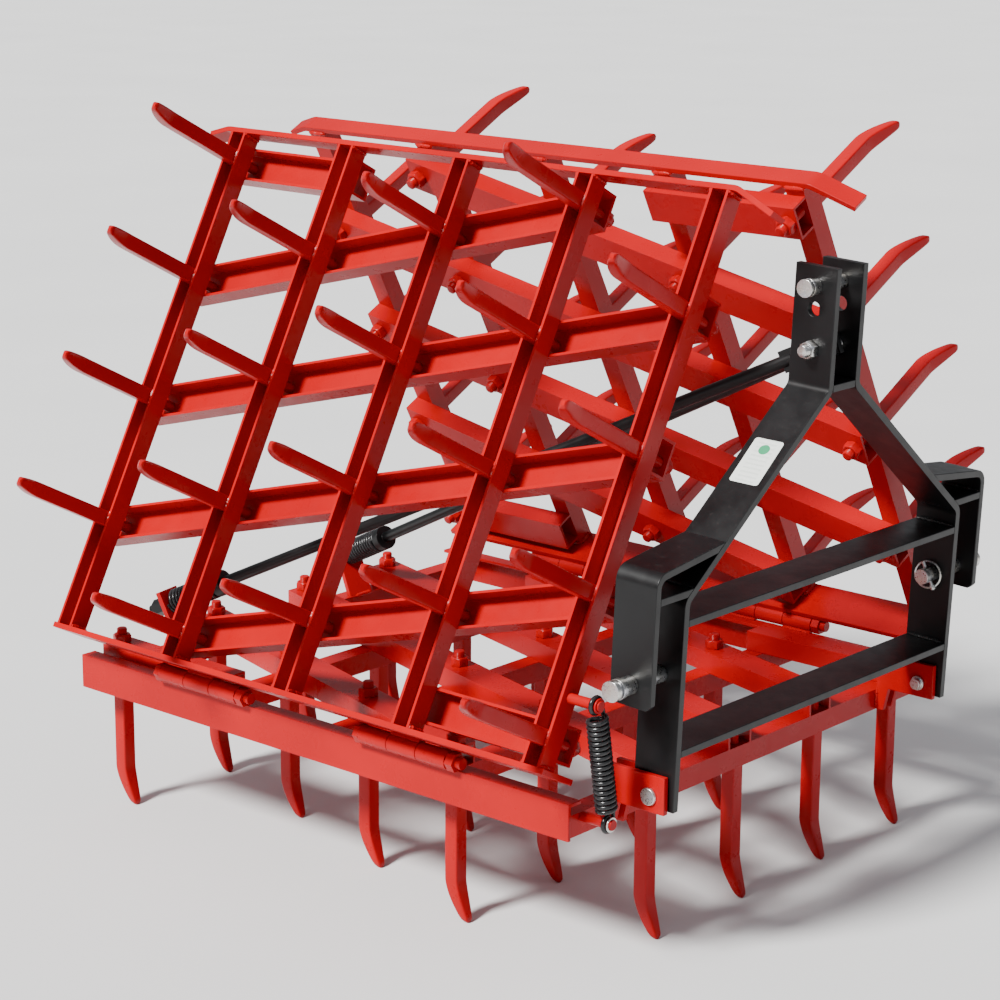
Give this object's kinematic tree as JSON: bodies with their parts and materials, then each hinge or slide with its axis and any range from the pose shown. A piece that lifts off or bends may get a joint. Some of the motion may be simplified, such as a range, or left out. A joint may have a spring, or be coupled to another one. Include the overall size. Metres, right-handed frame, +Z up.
{
  "type": "lawn dethatcher",
  "caption": "Three-point lawn dethatcher: a red tine harrow with two side wings folded up over the centre, and a black bent-bar hitch with sprung stays.",
  "frame": {"origin": "bottom centre of the bounding box in the folded transport pose, on the ground under the tine tips", "axes": "+Z up, -Y forwards to the tractor hitch, +X across the working width"},
  "size_m": [1.2176, 1.0947, 1.0422],
  "materials": {
    "red_paint": "gloss red enamel",
    "black_paint": "satin black powder coat",
    "zinc": "bright zinc plate",
    "spring_black": "gloss black",
    "label": "blank printed film"
  },
  "bodies": {
    "centre_frame": {"centre_rail_left": "red_paint", "centre_rail_right": "red_paint", "centre_tine_bars": "red_paint", "centre_diagonals": "red_paint", "centre_ties": "red_paint", "centre_tines": "red_paint", "centre_nuts": "red_paint", "hinge_fixed_tubes": "red_paint", "hinge_bolts": "red_paint", "hinge_nuts": "red_paint", "hitch_lugs": "red_paint", "lug_pins": "zinc", "spring_anchors": "red_paint", "anchor_cotters": "zinc", "stay_brackets": "red_paint"},
    "left_wing": {"left_hinge_bar": "red_paint", "left_end_bar": "red_paint", "left_tine_bars": "red_paint", "left_diagonals": "red_paint", "left_ties": "red_paint", "left_tines": "red_paint", "left_nuts": "red_paint", "left_hinge_tubes": "red_paint", "left_spring_pin": "red_paint"},
    "right_wing": {"right_hinge_bar": "red_paint", "right_end_bar": "red_paint", "right_tine_bars": "red_paint", "right_diagonals": "red_paint", "right_ties": "red_paint", "right_tines": "red_paint", "right_nuts": "red_paint", "right_hinge_tubes": "red_paint", "right_spring_pin": "red_paint"},
    "hitch": {"left_leg": "black_paint", "right_leg": "black_paint", "left_clevis": "black_paint", "right_clevis": "black_paint", "hitch_gussets": "black_paint", "middle_crossbar": "black_paint", "lower_crossbar": "black_paint", "mast_tie": "black_paint", "lower_link_pins": "zinc", "top_link_pin": "zinc", "linch_pins": "zinc", "stay_bolt": "zinc", "rating_label": "label"},
    "left_stay_assembly": {"left_stay": "black_paint", "left_stay_nut": "black_paint", "left_stay_spring": "spring_black"},
    "right_stay_assembly": {"right_stay": "black_paint", "right_stay_nut": "black_paint", "right_stay_spring": "spring_black"},
    "left_spring_assembly": {"left_tension_spring": "spring_black"},
    "right_spring_assembly": {"right_tension_spring": "spring_black"}
  },
  "joints": [
    {"name": "left_wing_fold", "type": "hinge", "parent": "centre_frame", "child": "left_wing", "pos_m": [-0.412, 0.0425, 0.253], "axis": [0, -1, 0], "range_deg": [0, 118], "deforming": ["left_tension_spring"]},
    {"name": "left_spring_swing", "type": "hinge", "parent": "centre_frame", "child": "left_spring_assembly", "pos_m": [-0.372, -0.4595, 0.214], "axis": [0, -1, 0], "range_deg": [0, 84]},
    {"name": "right_wing_fold", "type": "hinge", "parent": "centre_frame", "child": "right_wing", "pos_m": [0.412, 0.0425, 0.253], "axis": [0, 1, 0], "range_deg": [0, 118], "deforming": ["right_tension_spring"]},
    {"name": "right_spring_swing", "type": "hinge", "parent": "centre_frame", "child": "right_spring_assembly", "pos_m": [0.372, -0.4595, 0.214], "axis": [0, 1, 0], "range_deg": [0, 84]},
    {"name": "hitch_tilt", "type": "hinge", "parent": "centre_frame", "child": "hitch", "pos_m": [0, -0.4875, 0.245], "axis": [-1, 0, 0], "range_deg": [0, 4], "stiffness_Nm_per_rad": 2500, "deforming": ["left_stay_spring", "right_stay_spring"]},
    {"name": "left_stay_swing", "type": "hinge", "parent": "hitch", "child": "left_stay_assembly", "pos_m": [0, -0.51088, 0.78049], "axis": [1, 0, 0], "range_deg": [0, 3.2]},
    {"name": "right_stay_swing", "type": "hinge", "parent": "hitch", "child": "right_stay_assembly", "pos_m": [0, -0.51088, 0.78049], "axis": [1, 0, 0], "range_deg": [0, 3.2]}
  ],
  "couplings": [
    {"joint": "left_spring_swing", "follows": "left_wing_fold", "ratio": 0.7088},
    {"joint": "right_spring_swing", "follows": "right_wing_fold", "ratio": 0.7088},
    {"joint": "left_stay_swing", "follows": "hitch_tilt", "ratio": 0.7815},
    {"joint": "right_stay_swing", "follows": "hitch_tilt", "ratio": 0.7815}
  ]
}
